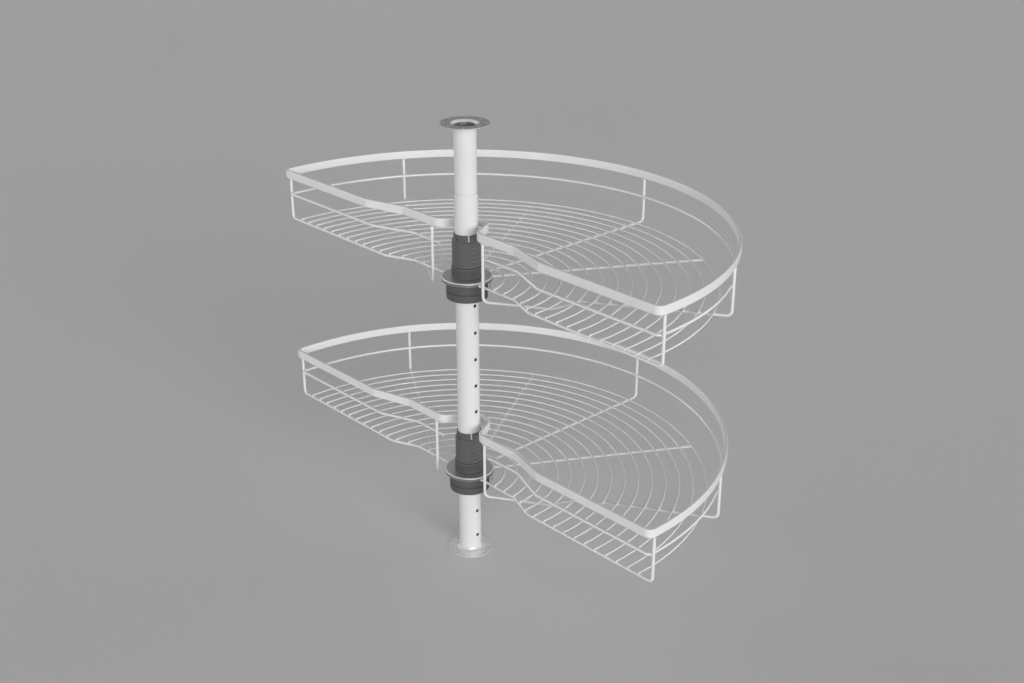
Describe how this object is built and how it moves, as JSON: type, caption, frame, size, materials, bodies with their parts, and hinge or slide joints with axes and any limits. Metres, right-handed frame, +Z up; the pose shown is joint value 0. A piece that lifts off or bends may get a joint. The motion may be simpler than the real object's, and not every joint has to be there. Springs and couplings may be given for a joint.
{
  "type": "corner carousel cabinet fitting",
  "caption": "Two-tier half-moon wire basket carousel that turns on a telescopic column, for a corner cupboard; height collars clamp each basket.",
  "frame": {"origin": "centre of the base flange's underside, on the column axis", "axes": "+Z up the column, -Y towards the baskets' open front, +X to the right side of the baskets seen from the front"},
  "size_m": [0.75, 0.3917, 0.637],
  "materials": {
    "basket_paint": "satin light silver powder coat",
    "tube_paint": "satin light silver powder coat",
    "flange_steel": "bright zinc",
    "plate_steel": "grey zinc",
    "dark_plastic": "matt moulded grey",
    "white_nylon": "smooth moulded"
  },
  "bodies": {
    "column_base": {"base_flange": "flange_steel", "outer_tube": "tube_paint", "lock_nut": "flange_steel", "lock_screw": "plate_steel"},
    "column_top": {"inner_tube": "tube_paint", "guide_plug": "white_nylon", "top_flange": "flange_steel"},
    "lower_carrier": {"lower_collet": "dark_plastic", "lower_support_cup": "dark_plastic", "lower_slide_ring": "dark_plastic", "lower_retaining_ring": "dark_plastic"},
    "lower_clamp": {"lower_clamp_ring": "dark_plastic"},
    "lower_basket": {"lower_bearing_housing": "dark_plastic", "lower_hub_disc": "plate_steel", "lower_rim": "basket_paint", "lower_rail": "basket_paint", "lower_front_wires": "basket_paint", "lower_floor_wires": "basket_paint", "lower_side_braces": "basket_paint", "lower_back_support": "basket_paint", "lower_spokes": "basket_paint"},
    "upper_carrier": {"upper_collet": "dark_plastic", "upper_support_cup": "dark_plastic", "upper_slide_ring": "dark_plastic", "upper_retaining_ring": "dark_plastic"},
    "upper_clamp": {"upper_clamp_ring": "dark_plastic"},
    "upper_basket": {"upper_bearing_housing": "dark_plastic", "upper_hub_disc": "plate_steel", "upper_rim": "basket_paint", "upper_rail": "basket_paint", "upper_front_wires": "basket_paint", "upper_floor_wires": "basket_paint", "upper_side_braces": "basket_paint", "upper_back_support": "basket_paint", "upper_spokes": "basket_paint"}
  },
  "joints": [
    {"name": "column_height", "type": "slide", "parent": "column_base", "child": "column_top", "axis": [0, 0, 1], "range_m": [-0.08, 0.07]},
    {"name": "lower_height", "type": "slide", "parent": "column_base", "child": "lower_carrier", "axis": [0, 0, 1], "range_m": [-0.08, 0.06]},
    {"name": "lower_clamp_turn", "type": "hinge", "parent": "lower_carrier", "child": "lower_clamp", "pos_m": [0, 0, 0.1304], "axis": [0, 0, 1], "range_deg": [0, 90]},
    {"name": "lower_turn", "type": "hinge", "parent": "lower_carrier", "child": "lower_basket", "pos_m": [0, 0, 0.1304], "axis": [0, 0, 1], "continuous": true},
    {"name": "upper_height", "type": "slide", "parent": "column_base", "child": "upper_carrier", "axis": [0, 0, 1], "range_m": [-0.06, 0.03]},
    {"name": "upper_clamp_turn", "type": "hinge", "parent": "upper_carrier", "child": "upper_clamp", "pos_m": [0, 0, 0.4253], "axis": [0, 0, 1], "range_deg": [0, 90]},
    {"name": "upper_turn", "type": "hinge", "parent": "upper_carrier", "child": "upper_basket", "pos_m": [0, 0, 0.4253], "axis": [0, 0, 1], "continuous": true}
  ]
}
